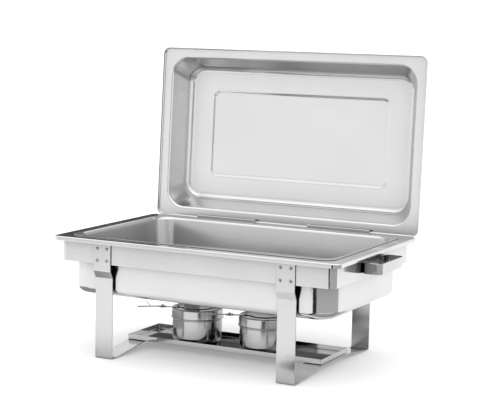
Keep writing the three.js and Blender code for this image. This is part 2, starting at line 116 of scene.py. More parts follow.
# Bent strips.
STRAP_SHEET = 2 * MM
STRAP_FOLD = 3.5 * MM
STEP_IN = 8 * MM
STEP_TOP = 165 * MM
STEP_BOTTOM = 151 * MM
FOOT_LENGTH = 15 * MM
PLATFORM_HALF = 54 * MM
PLATFORM_TOP = 13.5 * MM
HANDLE_FOLD = 10 * MM
HANDLE_FOOT_END = 30 * MM
LID_HANDLE = {
    "half_span": 58 * MM,
    "reach": 30 * MM,
    "slope": 6 * MM,
    "sheet": 2 * MM,
    "width": 20 * MM,
    "fold": 8 * MM,
}
BRACKET = {
    "sheet": 1.5 * MM,
    "fold": 1 * MM,
    "fold_gap": 0.6 * MM,
    "flange_gap": 3 * MM,  # from the water pan's flange to the middle of the inner wall
    "shelf_z": 208 * MM,
    "lip_top": 227 * MM,
    "floor": 220.25 * MM,
    "notch_depth": 9 * MM,  # outwards of notch_x the plate is cut back this far, clear of the leg strap
    "notch_x": 162 * MM,
}

# Burners.
CAN_CORNER = 12 * MM
BURNER_SHEET = 1 * MM
CAP = {"radius": 49 * MM, "hole": 26 * MM, "bead": 1.4 * MM, "bead_height": 3.4 * MM, "edge": 2.5 * MM}
BEAD_STEPS = 6
REGULATOR = {"radius": 31 * MM, "arm_end": 74 * MM, "arm_width": 9 * MM}
DISC_STEPS = 64
ARM_TIP_STEPS = 12
GRIP = {
    "start": 60 * MM,
    "end": 115 * MM,
    "width": 7 * MM,
    "sheet": 1.2 * MM,
    "tab_at": 90 * MM,
    "tab_height": 11 * MM,
    "tab_lean": 8 * MM,
}

# Rivets: the tail and shank radii are shares of the head's.
RIVET = {"head_height": 1.6 * MM, "tail": 0.85, "tail_height": 0.8 * MM, "shank": 0.57, "dome_steps": 6}

QUARTERS = ((1, 1), (-1, 1), (-1, -1), (1, -1))  # signs of the four corners, anticlockwise


class Box:
    """Lowest and highest corner of a CAD node, with the values that follow from them."""

    def __init__(self, node):
        low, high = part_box(node)
        self.low = Vector(low)
        self.high = Vector(high)
        self.centre = (self.low + self.high) / 2
        self.half = (self.high - self.low) / 2

    def floor_place(self):
        """Move to the middle of the box in plan, heights kept as they are."""
        return Matrix.Translation((self.centre.x, self.centre.y, 0))


joints = {joint["name"]: joint for joint in frame["joints"]}
lid_axis = joints["lid_lift"]["axis"]
LEAN_SLOPE = lid_axis[1] / lid_axis[2]  # the open lid's lean, backwards per unit of height
pan = Box("water_pan")
food = Box("food_pan")
band = Box("frame_band")
shelf = Box("burner_shelf")


# ---- mesh helpers ----
def finished(name, mesh, body, material, nodes):
    """Shades a mesh, makes it a piece that stands for CAD nodes, and puts its steel on."""
    work = bmesh.new()
    work.from_mesh(mesh)
    bmesh.ops.remove_doubles(work, verts=work.verts, dist=MERGE_DISTANCE)
    bmesh.ops.recalc_face_normals(work, faces=work.faces)
    work.to_mesh(mesh)
    work.free()
    mesh.shade_smooth()
    mesh.set_sharp_from_angle(angle=SHARP_ANGLE)
    piece = bpy.data.objects.new(name, mesh)
    bpy.context.scene.collection.objects.link(piece)
    weighted = piece.modifiers.new("weighted_normals", "WEIGHTED_NORMAL")
    weighted.keep_sharp = True
    mesh.materials.append(material)
    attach(piece, body)
    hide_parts(*nodes)
    return piece


def mesh_of(name, shells):
    """One mesh from several shells, each given as points and faces."""
    points = []
    faces = []
    for shell_points, shell_faces in shells:
        start = len(points)
        points += [tuple(point) for point in shell_points]
        faces += [[start + index for index in face] for face in shell_faces]
    mesh = bpy.data.meshes.new(name)
    mesh.from_pydata(points, [], faces)
    mesh.validate()
    return mesh


def ring(outline, inset, z):
    """The outline (half_x, half_y, corner) drawn in by an inset, at height z."""
    half_x, half_y, corner = outline
    return half_x - inset, half_y - inset, max(corner - inset, SMALLEST_CORNER), z


def bend(outline, centre_inset, centre_z, radius, start, end, steps=BEND_STEPS):
    """Rings along an arc. Angle 0 points outwards, 90 up and 180 inwards."""
    rings = []
    for step in range(steps + 1):
        angle = math.radians(start + (end - start) * step / steps)
        inset = centre_inset - radius * math.cos(angle)
        rings.append(ring(outline, inset, centre_z + radius * math.sin(angle)))
    return rings


def ring_points(half_x, half_y, corner, z):
    """Points of one ring, anticlockwise seen from above."""
    points = []
    for quarter, (sign_x, sign_y) in enumerate(QUARTERS):
        for step in range(CORNER_STEPS + 1):
            angle = math.pi / 2 * (quarter + step / CORNER_STEPS)
            x = sign_x * (half_x - corner) + corner * math.cos(angle)
            y = sign_y * (half_y - corner) + corner * math.sin(angle)
            points.append(Vector((x, y, z)))
    return points


def stitched(loops, closed):
    """Faces between neighbouring loops of equal length; an open list is capped at both ends."""
    count = len(loops[0])
    points = [point for loop in loops for point in loop]
    faces = []
    for span in range(len(loops) if closed else len(loops) - 1):
        low = span * count
        high = (span + 1) % len(loops) * count
        for side in range(count):
            after = (side + 1) % count
            faces.append([low + side, low + after, high + after, high + side])
    if not closed:
        faces.append(list(range(count))[::-1])
        faces.append([len(points) - count + side for side in range(count)])
    return points, faces


def skin(rings, closed=False, place=Matrix()):
    """Skin over a list of rings, moved to its place."""
    points, faces = stitched([ring_points(*one) for one in rings], closed)
    return [place @ point for point in points], faces


def folded_line(corners, radius):
    """Points and directions along a line whose inner corners are rounded by arcs."""
    path = [Vector(corner) for corner in corners]
    stations = [(path[0], (path[1] - path[0]).normalized())]
    for before_point, corner, after_point in zip(path, path[1:], path[2:]):
        before = (corner - before_point).normalized()
        after = (after_point - corner).normalized()
        turn = math.atan2(before.x * after.y - before.y * after.x, before.dot(after))
        reach = radius * math.tan(abs(turn) / 2)
        start = corner - before * reach
        centre = start + Vector((-before.y, before.x)) * math.copysign(radius, turn)
        steps = max(2, math.ceil(abs(turn) / FOLD_STEP))
        for step in range(steps + 1):
            spin = Matrix.Rotation(turn * step / steps, 2)
            stations.append((centre + spin @ (start - centre), spin @ before))
    stations.append((path[-1], (path[-1] - path[-2]).normalized()))
    return stations


def rounded_section(half_a, half_b, radius, steps=3):
    """Closed outline of a sheet's cut section with rounded edges."""
    points = []
    for quarter, (sign_a, sign_b) in enumerate(QUARTERS):
        for step in range(steps + 1):
            angle = math.pi / 2 * (quarter + step / steps)
            a = sign_a * (half_a - radius) + radius * math.cos(angle)
            b = sign_b * (half_b - radius) + radius * math.sin(angle)
            points.append((a, b))
    return points


def strip(corners, sheet, low, high, fold, axes):
    """Sheet strip folded along (u, v) corners and spread from low to high along w.

    The axes function turns (u, v, w) into a point in space.
    """
    section = rounded_section(sheet / 2, (high - low) / 2, EDGE)
    middle = (low + high) / 2
    loops = []
    for point, along in folded_line(corners, fold):
        normal = Vector((-along.y, along.x))
        loop = []
        for a, b in section:
            flat = point + normal * a
            loop.append(axes(flat.x, flat.y, middle + b))
        loops.append(loop)
    return stitched(loops, False)


def along_x(u, v, w):
    """A profile in the YZ plane, spread along X."""
    return Vector((w, u, v))


def along_z(u, v, w):
    """A profile in the XY plane, spread along Z."""
    return Vector((u, v, w))


def along_local_y(place):
    """A profile in the XZ plane of a turned place, spread along its Y."""

    def axes(u, v, w):
        return place @ Vector((u, w, v))

    return axes


def turned(profile, place=Matrix(), sides=LATHE_SIDES):
    """A profile of (radius, height) turned round Z. It runs from axis to axis, or back to where it starts."""
    rows = []
    for side in range(sides):
        angle = 2 * math.pi * side / sides
        rows.append([place @ Vector((r * math.cos(angle), r * math.sin(angle), z)) for r, z in profile])
    points = [point for row in rows for point in row]
    count = len(profile)
    faces = []
    for side in range(sides):
        here = side * count
        there = (side + 1) % sides * count
        for index in range(count - 1):
            faces.append([here + index, there + index, there + index + 1, here + index + 1])
    return points, faces


def arc(centre_r, centre_z, radius, start, end, steps=6):
    """Points of a profile arc in degrees, 0 outwards and 90 up."""
    angles = [math.radians(start + (end - start) * step / steps) for step in range(steps + 1)]
    return [(centre_r + radius * math.cos(a), centre_z + radius * math.sin(a)) for a in angles]


# ---- materials ----
class Graph:
    """Small help for building a node tree."""

    def __init__(self, tree):
        self.tree = tree

    def add(self, kind, values=None, **settings):
        """A node with its own settings and unlinked input values."""
        node = self.tree.nodes.new(kind)
        for key, value in settings.items():
            setattr(node, key, value)
        for key, value in (values or {}).items():
            node.inputs[key].default_value = value
        return node

    def link(self, source, target):
        self.tree.links.new(source, target)

    def noise(self, coordinates, stretch, scale, detail=2.0):
        """Noise over object coordinates that are stretched first."""
        mapping = self.add("ShaderNodeMapping", {"Scale": stretch})
        self.link(coordinates, mapping.inputs["Vector"])
        node = self.add("ShaderNodeTexNoise", {"Scale": scale, "Detail": detail})
        self.link(mapping.outputs["Vector"], node.inputs["Vector"])
        return node.outputs["Fac"]

    def remap(self, value, low, high, from_low=0.3, from_high=0.7):
        """Stretches a value between two limits over a new range."""
        limits = {"From Min": from_low, "From Max": from_high, "To Min": low, "To Max": high}
        node = self.add("ShaderNodeMapRange", limits)
        self.link(value, node.inputs["Value"])
        return node.outputs["Result"]

    def sum(self, first, second):
        node = self.add("ShaderNodeMath", operation="ADD")
        self.link(first, node.inputs[0])
        self.link(second, node.inputs[1])
        return node.outputs["Value"]


GRAIN_STRETCH = {"X": (1, 60, 60), "Y": (60, 1, 60), "Z": (60, 60, 1), "ROUND": (60, 60, 60)}
GRAIN_SCALE = 28
CLOUD_SCALE = 9  # smudges and drifts of tone
WAVE_SCALE = 5  # unevenness of the sheet
WAVE_DEPTH = 2 * MM
GRAIN_DEPTH = 0.02 * MM
GRAIN_STRENGTH = 0.03
MARK_STRETCH = (3, 150, 40)  # handling marks are long and thin
MARK_SCALE = 6
MARK_DEPTH = 0.01 * MM
MARK_LIMITS = (0.7, 0.8)  # only the highest values of the noise make a mark
TONE_LIMITS = (0.3, 0.7)
# Painted shade: ambient occlusion darkens the steel's colour in hollows, creases and between parts.
PAINTED_SHADE_LIMITS = (0.15, 0.95)
PAINTED_SHADE_SAMPLES = 8


def steel_tone(graph, light, dark, cloudy, painted_shade_share, depth):
    """Colour that drifts between two greys, with painted shade from ambient occlusion that darkens it in
    hollows down to the given share.
    """
    tone = graph.add("ShaderNodeValToRGB")
    for element, position, colour in zip(tone.color_ramp.elements, TONE_LIMITS, (dark, light)):
        element.position = position
        element.color = (*colour, 1)
    graph.link(cloudy, tone.inputs["Fac"])
    # Painted shade: the colour is scaled down where ambient occlusion finds nearby surfaces.
    painted_shade_ao = graph.add("ShaderNodeAmbientOcclusion", {"Distance": depth}, samples=PAINTED_SHADE_SAMPLES)
    painted_shade = graph.add("ShaderNodeVectorMath", operation="SCALE")
    graph.link(tone.outputs["Color"], painted_shade.inputs[0])
    graph.link(graph.remap(painted_shade_ao.outputs["AO"], painted_shade_share, 1.0, *PAINTED_SHADE_LIMITS), painted_shade.inputs["Scale"])
    return painted_shade.outputs["Vector"]


def steel_normal(graph, uneven, fine, marks, wave, scratch):
    """Bumps of the uneven sheet, the brushed grain and the handling marks, one on another."""
    sheet = graph.add("ShaderNodeBump", {"Strength": wave, "Distance": WAVE_DEPTH})
    graph.link(uneven, sheet.inputs["Height"])
    brushed = graph.add("ShaderNodeBump", {"Strength": GRAIN_STRENGTH, "Distance": GRAIN_DEPTH})
    graph.link(fine, brushed.inputs["Height"])
    graph.link(sheet.outputs["Normal"], brushed.inputs["Normal"])
    cut = graph.add("ShaderNodeBump", {"Strength": scratch, "Distance": MARK_DEPTH}, invert=True)
    graph.link(graph.remap(marks, 0, 1, *MARK_LIMITS), cut.inputs["Height"])
    graph.link(brushed.outputs["Normal"], cut.inputs["Normal"])
    return cut.outputs["Normal"]


def steel(
    name, light, dark, roughness, grain="X", spread=0.05, wave=0.1, scratch=0.03, painted_shade_share=0.45, depth=60 * MM
):
    """Stainless sheet with brushed grain, smudges, handling marks, a slightly uneven face and painted shade
    in its hollows.
    """
    material = bpy.data.materials.new(name)
    material.use_nodes = True
    graph = Graph(material.node_tree)
    shader = material.node_tree.nodes["Principled BSDF"]
    shader.inputs["Metallic"].default_value = 1.0
    place = graph.add("ShaderNodeTexCoord").outputs["Object"]
    fine = graph.noise(place, GRAIN_STRETCH[grain], GRAIN_SCALE, 3.0)
    cloudy = graph.noise(place, (1, 1, 1), CLOUD_SCALE, 3.0)
    uneven = graph.noise(place, (1, 1, 1), WAVE_SCALE, 1.0)
    marks = graph.noise(place, MARK_STRETCH, MARK_SCALE, 0.0)

    graph.link(steel_tone(graph, light, dark, cloudy, painted_shade_share, depth), shader.inputs["Base Color"])
    grainy = graph.remap(fine, roughness - spread / 2, roughness + spread / 2)
    smudged = graph.remap(cloudy, -spread / 2, spread)
    worn = graph.remap(marks, 0.0, spread, *MARK_LIMITS)
    graph.link(graph.sum(graph.sum(grainy, smudged), worn), shader.inputs["Roughness"])
    graph.link(steel_normal(graph, uneven, fine, marks, wave, scratch), shader.inputs["Normal"])
    return material


def grey(level, blue=0.0):
    """A grey with a little more or less blue."""
    return level, level, level + blue


# Every steel's colour carries painted shade in its hollows, down to the share given to each.
BAND_STEEL = steel("band_steel", grey(0.62), grey(0.58, 0.005), 0.12)
STRAP_STEEL = steel("strap_steel", grey(0.6), grey(0.55, 0.005), 0.18, "Z")
PAN_STEEL = steel("water_pan_steel", grey(0.63), grey(0.59, 0.005), 0.1)
FOOD_STEEL = steel("food_pan_steel", grey(0.56), grey(0.51, 0.005), 0.18, painted_shade_share=0.5, depth=120 * MM)
LID_STEEL = steel(
    "lid_steel", grey(0.63), grey(0.59, 0.005), 0.19, spread=0.02, wave=0.06, scratch=0.0, painted_shade_share=0.55
)
SMALL_STEEL = steel("strip_steel", grey(0.58), grey(0.51, 0.005), 0.14, "Y")
SHELF_STEEL = steel("shelf_steel", grey(0.66), grey(0.6, 0.005), 0.05, painted_shade_share=0.6)
# The burner steel's darker grey is painted shade for the burners standing under the pan.
BURNER_STEEL = steel("burner_steel", grey(0.55, -0.01), grey(0.47), 0.13, "ROUND", painted_shade_share=0.3)
GRIP_STEEL = steel("grip_steel", grey(0.3), grey(0.22), 0.2, "ROUND")
RIVET_STEEL = steel("rivet_steel", grey(0.34), grey(0.26, 0.005), 0.3, "ROUND")


# ---- pieces ----
def build_band():
    """Upright sheet all round, open above and below."""
    outline = (band.half.x, band.half.y, BAND_CORNER)
    low, high, sheet = band.low.z, band.high.z, BAND_SHEET
    rings = [
        *bend(outline, EDGE, low + EDGE, EDGE, -90, 0, steps=EDGE_STEPS),
        *bend(outline, EDGE, high - EDGE, EDGE, 0, 90, steps=EDGE_STEPS),
        *bend(outline, sheet - EDGE, high - EDGE, EDGE, 90, 180, steps=EDGE_STEPS),
        *bend(outline, sheet - EDGE, low + EDGE, EDGE, 180, 270, steps=EDGE_STEPS),
    ]
    mesh = mesh_of("band_sheet", [skin(rings, closed=True, place=band.floor_place())])
    finished("band_sheet", mesh, "frame", BAND_STEEL, ["frame_band"])


def build_strap(side):
    """Front leg, raised middle under the shelf and rear leg, folded from one strip."""
    box = Box(f"leg_strap_{side}")
    face = band.half.y + GAP + STRAP_SHEET / 2
    leg = face - STEP_IN
    sole = STRAP_SHEET / 2
    half = [
        (face, box.high.z),
        (face, STEP_TOP),
        (leg, STEP_BOTTOM),
        (leg, sole),
        (leg - FOOT_LENGTH, sole),
        (PLATFORM_HALF, PLATFORM_TOP - STRAP_SHEET / 2),
    ]
    front = [(box.centre.y - u, v) for u, v in half]
    rear = [(box.centre.y + u, v) for u, v in reversed(half)]
    shell = strip(front + rear, STRAP_SHEET, box.low.x, box.high.x, STRAP_FOLD, along_x)
    name = f"strap_{side}"
    finished(name, mesh_of(name, [shell]), "frame", STRAP_STEEL, [f"leg_strap_{side}"])


def build_side_handle(side, sign):
    """Bow strip whose feet turn in behind the bow, flat on the band."""
    box = Box(f"side_handle_{side}")
    foot = band.centre.x + sign * (band.half.x + GAP + STRAP_SHEET / 2)
    bar = sign * (max(abs(box.low.x), abs(box.high.x)) - STRAP_SHEET / 2)
    span = box.half.y - STRAP_SHEET / 2
    middle = box.centre.y
    corners = [
        (foot, middle - HANDLE_FOOT_END),
        (foot, middle - span),
        (bar, middle - span),
        (bar, middle + span),
        (foot, middle + span),
        (foot, middle + HANDLE_FOOT_END),
    ]
    shell = strip(corners, STRAP_SHEET, box.low.z, box.high.z, HANDLE_FOLD, along_z)
    name = f"handle_{side}"
    finished(name, mesh_of(name, [shell]), "frame", SMALL_STEEL, [f"side_handle_{side}"])


def build_bracket(side, sign):
    """Channel that holds the lid, and the tongue that carries it down the back of the band."""
    box = Box(f"lid_bracket_{side}")
    sheet, fold = BRACKET["sheet"], BRACKET["fold"]
    plate = band.high.y + GAP + sheet / 2
    rise = pan.high.y + BRACKET["flange_gap"]
    second = rise + sheet + BRACKET["fold_gap"]
    bottom = BRACKET["floor"] - sheet / 2
    notch = band.high.y + BRACKET["notch_depth"]
    back_top = box.high.y - sheet / 2
    back = back_top - (box.high.z - bottom) * LEAN_SLOPE
    channel = [
        (notch, BRACKET["shelf_z"]),
        (rise, BRACKET["shelf_z"]),
        (rise, BRACKET["lip_top"]),
        (second, BRACKET["lip_top"]),
        (second, bottom),
        (back, bottom),
        (back_top, box.high.z),
    ]
    tongue = [(plate, box.low.z), (plate, BRACKET["shelf_z"]), (notch + sheet, BRACKET["shelf_z"])]
    cut = sign * BRACKET["notch_x"]
    inner = box.low.x if sign > 0 else box.high.x
    shells = [
        strip(channel, sheet, box.low.x, box.high.x, fold, along_x),
        strip(tongue, sheet, min(inner, cut), max(inner, cut), fold, along_x),
    ]
    name = f"bracket_{side}"
    finished(name, mesh_of(name, shells), "frame", SMALL_STEEL, [f"lid_bracket_{side}"])


def build_shelf():
    """Shallow tray with four upright edges."""
    outline = (shelf.half.x, shelf.half.y, SHELF_CORNER)
    low, high, sheet = shelf.low.z, shelf.high.z, SHELF_SHEET
    rings = [
        *bend(outline, SHELF_BEND, low + SHELF_BEND, SHELF_BEND, -90, 0, steps=4),
        *bend(outline, EDGE, high - EDGE, EDGE, 0, 90, steps=EDGE_STEPS),
        *bend(outline, sheet - EDGE, high - EDGE, EDGE, 90, 180, steps=EDGE_STEPS),
        *bend(outline, SHELF_BEND, low + SHELF_BEND, SHELF_BEND - sheet, 0, -90, steps=4),
    ]
    mesh = mesh_of("shelf_tray", [skin(rings, place=shelf.floor_place())])
    finished("shelf_tray", mesh, "frame", SHELF_STEEL, ["burner_shelf"])


def build_water_pan():
    """Deep pan whose wide flange is turned down at its edge."""
    flange = (pan.half.x, pan.half.y, PAN_CORNER)
    wall = (pan.half.x - PAN_FLANGE_WIDTH, pan.half.y - PAN_FLANGE_WIDTH, PAN_WALL_CORNER)
    low, high, sheet = pan.low.z, pan.high.z, PAN_SHEET
    edge_centre, mouth_centre = high - PAN_EDGE_BEND, high - PAN_MOUTH_BEND
    lip = high - PAN_LIP
    rings = [
        *bend(wall, PAN_BEND, low + PAN_BEND, PAN_BEND, -90, 0),
        ring(wall, 0, high - sheet),
        *bend(flange, PAN_EDGE_BEND, edge_centre, PAN_EDGE_BEND - sheet, 90, 0, steps=3),
        *bend(flange, sheet - EDGE, lip + EDGE, EDGE, 180, 270, steps=EDGE_STEPS),
        *bend(flange, EDGE, lip + EDGE, EDGE, -90, 0, steps=EDGE_STEPS),
        *bend(flange, PAN_EDGE_BEND, edge_centre, PAN_EDGE_BEND, 0, 90),
        *bend(wall, sheet - PAN_MOUTH_BEND, mouth_centre, PAN_MOUTH_BEND, 90, 180, steps=4),
        *bend(wall, PAN_BEND, low + PAN_BEND, PAN_BEND - sheet, 0, -90),
    ]
    mesh = mesh_of("hot_water_pan", [skin(rings, place=pan.floor_place())])
    finished("hot_water_pan", mesh, "water_pan", PAN_STEEL, ["water_pan"])


def build_food_pan():
    """Sloping pan with a flat rim and a wide bend at its mouth."""
    rim = (food.half.x, food.half.y, FOOD_RIM_CORNER)
    mouth = (food.half.x - FOOD_MOUTH_INSET, food.half.y - FOOD_MOUTH_INSET, FOOD_CORNER)
    floor = (food.half.x - FOOD_FLOOR_INSET, food.half.y - FOOD_FLOOR_INSET, FOOD_CORNER)
    low, high, sheet = food.low.z, food.high.z, FOOD_SHEET
    inset, centre = sheet - FOOD_MOUTH_BEND, high - FOOD_MOUTH_BEND
    seat = high - sheet
    rings = [
        *bend(floor, FOOD_BEND, low + FOOD_BEND, FOOD_BEND, -90, 0),
        *bend(mouth, inset, centre, FOOD_MOUTH_BEND - sheet, 180, 90),
        *bend(rim, EDGE, seat + EDGE, EDGE, -90, 0, steps=EDGE_STEPS),
        *bend(rim, EDGE, high - EDGE, EDGE, 0, 90, steps=EDGE_STEPS),
        *bend(mouth, inset, centre, FOOD_MOUTH_BEND, 90, 180, steps=10),
        *bend(floor, FOOD_BEND, low + FOOD_BEND, FOOD_BEND - sheet, 0, -90),
    ]
    mesh = mesh_of("gastronorm_pan", [skin(rings, place=food.floor_place())])
    finished("gastronorm_pan", mesh, "food_pan", FOOD_STEEL, ["food_pan"])


def lid_place():
    """The lid's own frame: its mouth plane is XY and its top faces +Z, which is backwards here."""
    turn = Matrix.Rotation(-(math.pi / 2 + math.atan(LEAN_SLOPE)), 4, "X")
    foot = joints["lid_lift"]["pos_m"]
    low_edge = turn @ Vector((0, LID_HALF_Y, 0))
    middle = Vector((Box("lid_shell").centre.x, foot[1], BRACKET["floor"] + LID_SEAT)) - low_edge
    return Matrix.Translation(middle) @ turn


def panel_step(level, steps=8):
    """Rings of the soft step round the lid's raised panel, from its top down to the level round it."""
    rings = []
    for step in range(steps + 1):
        share = step / steps
        height = (1 + math.cos(math.pi * share)) / 2
        rings.append(ring(PANEL, PANEL_SLOPE * (1 - share), level + PANEL_RISE * height))
    return rings


def build_lid():
    """Pressed lid with a raised panel, a sloping wall and a turned-down hem."""
    edge = (Box("lid_shell").half.x, LID_HALF_Y, LID_EDGE_CORNER)
    mouth = (edge[0] - LID_MOUTH_INSET[0], edge[1] - LID_MOUTH_INSET[1], LID_CORNER)
    top = (edge[0] - LID_TOP_INSET[0], edge[1] - LID_TOP_INSET[1], LID_CORNER)
    sheet = LID_SHEET
    hem_bend = LID_HEM_BEND
    top_centre = LID_DEPTH - LID_TOP_BEND
    hem_centre = EDGE - LID_HEM
    rings = [
        *panel_step(LID_DEPTH - sheet),
        *bend(top, LID_TOP_BEND, top_centre, LID_TOP_BEND - sheet, 90, 0),
        *bend(mouth, sheet - LID_MOUTH_BEND, LID_MOUTH_BEND, LID_MOUTH_BEND, 180, 270),
        ring(edge, sheet + hem_bend, 0),
        ring(edge, sheet, -hem_bend),
        *bend(edge, sheet - EDGE, hem_centre, EDGE, 180, 270, steps=EDGE_STEPS),
        *bend(edge, EDGE, hem_centre, EDGE, -90, 0, steps=EDGE_STEPS),
        *bend(edge, hem_bend + sheet, -hem_bend, hem_bend + sheet, 0, 90, steps=5),
        *bend(mouth, sheet - LID_MOUTH_BEND, LID_MOUTH_BEND, LID_MOUTH_BEND - sheet, 270, 180),
        *bend(top, LID_TOP_BEND, top_centre, LID_TOP_BEND, 0, 90),
        *reversed(panel_step(LID_DEPTH)),
    ]
    mesh = mesh_of("lid_pressing", [skin(rings, place=lid_place())])
    finished("lid_pressing", mesh, "lid", LID_STEEL, ["lid_shell"])


def build_lid_handle():
    """Bow strip on the lid's raised panel."""
    foot_end = Box("lid_handle").half.x
    span = LID_HANDLE["half_span"]
    sheet = LID_HANDLE["sheet"]
    base = LID_DEPTH + PANEL_RISE + GAP + sheet / 2
    bar = base + LID_HANDLE["reach"]
    bar_end = span - LID_HANDLE["slope"]
    half_width = LID_HANDLE["width"] / 2
    corners = [
        (-foot_end, base),
        (-span, base),
        (-bar_end, bar),
        (bar_end, bar),
        (span, base),
        (foot_end, base),
    ]
    shell = strip(corners, sheet, -half_width, half_width, LID_HANDLE["fold"], along_local_y(lid_place()))
    finished("lid_bow", mesh_of("lid_bow", [shell]), "lid", SMALL_STEEL, ["lid_handle"])


def build_can(side):
    """Fuel can, a straight cup with a well-rounded lower edge."""
    can = Box(f"burner_can_{side}")
    radius, sheet = can.half.x, BURNER_SHEET
    low, high = can.low.z, can.high.z
    corner_r, corner_z = radius - CAN_CORNER, low + CAN_CORNER
    profile = [
        (0, low),
        *arc(corner_r, corner_z, CAN_CORNER, -90, 0),
        (radius, high - EDGE),
        (radius - EDGE, high),
        (radius - sheet, high),
        *arc(corner_r, corner_z, CAN_CORNER - sheet, 0, -90),
        (0, low + sheet),
    ]
    name = f"fuel_can_{side}"
    mesh = mesh_of(name, [turned(profile, can.floor_place())])
    finished(name, mesh, f"burner_{side}", BURNER_STEEL, [f"burner_can_{side}"])


def build_cap(side):
    """Sleeve cap with a rounded bead at its foot and the flame opening in its top."""
    cap = Box(f"burner_cap_{side}")
    outer, hole, edge, sheet = CAP["radius"], CAP["hole"], CAP["edge"], BURNER_SHEET
    foot, top = cap.low.z, cap.high.z
    bead = []
    for step in range(1, BEAD_STEPS):
        share = step / BEAD_STEPS
        bead.append((outer + CAP["bead"] * math.sin(math.pi * share), foot + CAP["bead_height"] * share))
    profile = [
        (outer - sheet, foot),
        (outer, foot),
        *bead,
        (outer, foot + CAP["bead_height"]),
        *arc(outer - edge, top - edge, edge, 0, 90),
        (hole + EDGE, top),
        (hole, top - EDGE),
        (hole, top - sheet),
        (outer - edge, top - sheet),
        *arc(outer - edge, top - edge, edge - sheet, 90, 0),
        (outer - sheet, foot),
    ]
    name = f"cap_{side}"
    mesh = mesh_of(name, [turned(profile, Box(f"burner_can_{side}").floor_place())])
    finished(name, mesh, f"burner_{side}", BURNER_STEEL, [f"burner_cap_{side}"])


def regulator_place(side, node):
    """Middle of the burner turned so that +X runs along the regulator's arm, at the node's underside."""
    can = Box(f"burner_can_{side}")
    pivot = joints[f"regulator_{side}_swivel"]["pos_m"]
    angle = math.atan2(pivot[1] - can.centre.y, pivot[0] - can.centre.x)
    middle = (can.centre.x, can.centre.y, Box(node).low.z)
    return Matrix.Translation(middle) @ Matrix.Rotation(angle, 4, "Z")


def build_regulator_plate(side):
    """Disc over the flame opening with a round-ended arm along +X."""
    node = f"regulator_plate_{side}"
    place = regulator_place(side, node)
    thickness = 2 * Box(node).half.z
    radius, half_arm = REGULATOR["radius"], REGULATOR["arm_width"] / 2
    meeting = math.asin(half_arm / radius)
    outline = []
    for step in range(DISC_STEPS + 1):
        angle = meeting + (2 * math.pi - 2 * meeting) * step / DISC_STEPS
        outline.append((radius * math.cos(angle), radius * math.sin(angle)))
    tip = REGULATOR["arm_end"] - half_arm
    for step in range(ARM_TIP_STEPS + 1):
        angle = math.pi * step / ARM_TIP_STEPS
        outline.append((tip + half_arm * math.sin(angle), -half_arm * math.cos(angle)))
    loops = []
    for drawn_in, z in ((EDGE, 0), (0, EDGE), (0, thickness - EDGE), (EDGE, thickness)):
        scale = 1 - drawn_in / radius
        loops.append([place @ Vector((x * scale, y * scale, z)) for x, y in outline])
    name = f"swivel_{side}"
    mesh = mesh_of(name, [stitched(loops, False)])
    finished(name, mesh, f"regulator_{side}", BURNER_STEEL, [node])


def build_regulator_grip(side):
    """Thin bar with a finger tab bent up from it."""
    node = f"regulator_grip_{side}"
    sheet = GRIP["sheet"]
    half_width = GRIP["width"] / 2
    axes = along_local_y(regulator_place(side, node))
    bar = [(GRIP["start"], sheet / 2), (GRIP["end"], sheet / 2)]
    tab = [(GRIP["tab_at"], sheet / 2), (GRIP["tab_at"] + GRIP["tab_lean"], GRIP["tab_height"])]
    shells = [strip(line, sheet, -half_width, half_width, sheet, axes) for line in (bar, tab)]
    name = f"grip_{side}"
    finished(name, mesh_of(name, shells), f"regulator_{side}", GRIP_STEEL, [node])


def build_rivet(node, body, axis, sign):
    """Domed rivet that fills its CAD node's box, its head on the signed end of the axis."""
    box = Box(node)
    order = "XYZ".index(axis)
    half = box.half[order]
    radius = max(box.half[index] for index in range(3) if index != order)
    head = RIVET["head_height"]
    tail, tail_top = RIVET["tail"] * radius, RIVET["tail_height"] - half
    shank = RIVET["shank"] * radius
    neck = half - head
    dome = []
    for step in range(RIVET["dome_steps"] + 1):
        angle = math.pi / 2 * step / RIVET["dome_steps"]
        dome.append((radius * math.cos(angle), neck + head * math.sin(angle)))
    profile = [(0, -half), (tail, -half), (tail, tail_top), (shank, tail_top), (shank, neck), *dome]
    outwards = Vector([sign if index == order else 0 for index in range(3)])
    place = Matrix.Translation(box.centre) @ outwards.to_track_quat("Z", "Y").to_matrix().to_4x4()
    name = f"{node}_dome"
    mesh = mesh_of(name, [turned(profile, place, RIVET_SIDES)])
    finished(name, mesh, body, RIVET_STEEL, [node])


build_band()
build_shelf()
build_water_pan()
build_food_pan()
build_lid()
build_lid_handle()
for side, sign in (("left", -1), ("right", 1)):
    build_strap(side)
    build_side_handle(side, sign)
    build_bracket(side, sign)
    build_can(side)
    build_cap(side)
    build_regulator_plate(side)
    build_regulator_grip(side)
    for number in range(1, 5):
        build_rivet(f"leg_rivet_{side}_front_{number}", "frame", "Y", -1)
        build_rivet(f"leg_rivet_{side}_rear_{number}", "frame", "Y", 1)
        build_rivet(f"handle_rivet_{side}_{number}", "frame", "X", sign)
    build_rivet(f"regulator_pivot_{side}", f"burner_{side}", "Z", 1)
    build_rivet(f"grip_rivet_{side}", f"regulator_{side}", "Z", 1)


# ---- studio ----
FLOOR_REACH = 60
FLOOR_GREY = 0.72
FLOOR_GLOW = 0.24
PAINT_ROUGHNESS = 0.8
CARD_CENTRE_INSET = 0.02  # the corner cards spread from this far inside the pan's front right corner
CARD_STEPS = 24
SECTOR_HEIGHT = 1 * MM
STRIP_HEIGHT = 0.5 * MM
STRIP_HALF_WIDTH = 4
SKY_STOPS = ((0.0, 1.4), (0.1, 1.15), (0.3, 1.0), (0.5, 1.2), (1.0, 2.1))  # sine of elevation, brightness


